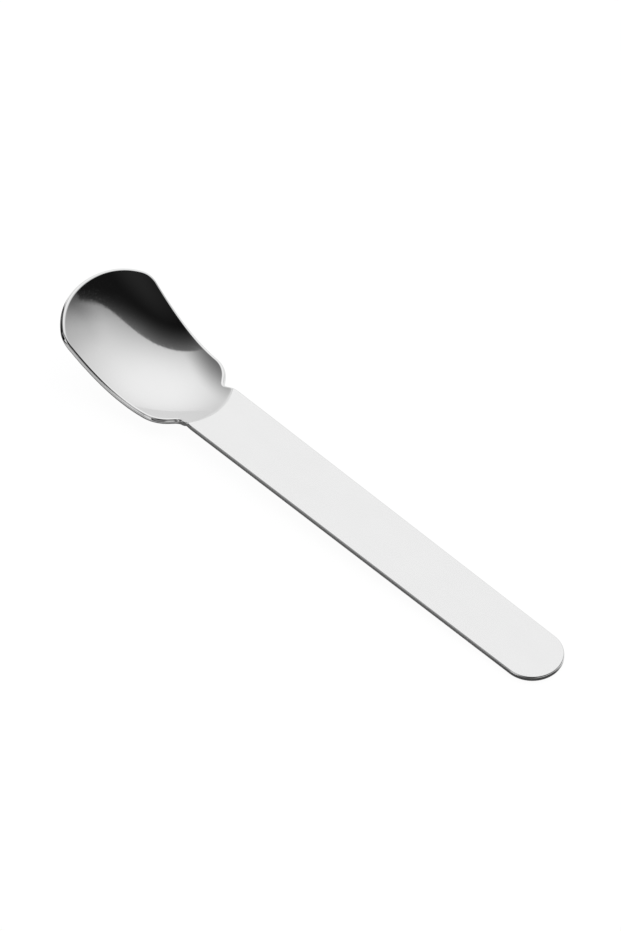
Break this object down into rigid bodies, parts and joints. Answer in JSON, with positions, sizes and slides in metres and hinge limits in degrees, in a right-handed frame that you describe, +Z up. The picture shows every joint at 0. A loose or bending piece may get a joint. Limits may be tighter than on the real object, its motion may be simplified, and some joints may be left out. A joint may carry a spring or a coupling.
{
  "type": "ice cream spoon",
  "caption": "Stainless steel ice cream spoon with a straight flat round-ended handle and a dished, spade-shaped bowl that rises towards its rounded front.",
  "frame": {"origin": "on the table under the middle of the spoon's bounding box, with the spoon lying on the belly of its bowl and on the end of its handle", "axes": "+X along the spoon from the tip of the bowl towards the end of the handle, +Y across the spoon, +Z up out of the bowl"},
  "size_m": [0.1402, 0.0262, 0.0148],
  "materials": {
    "polished_steel": "mirror polished stainless steel",
    "satin_steel": "fine satin stainless steel"
  },
  "bodies": {
    "root": {"bowl": "polished_steel", "handle": "satin_steel"}
  },
  "joints": []
}
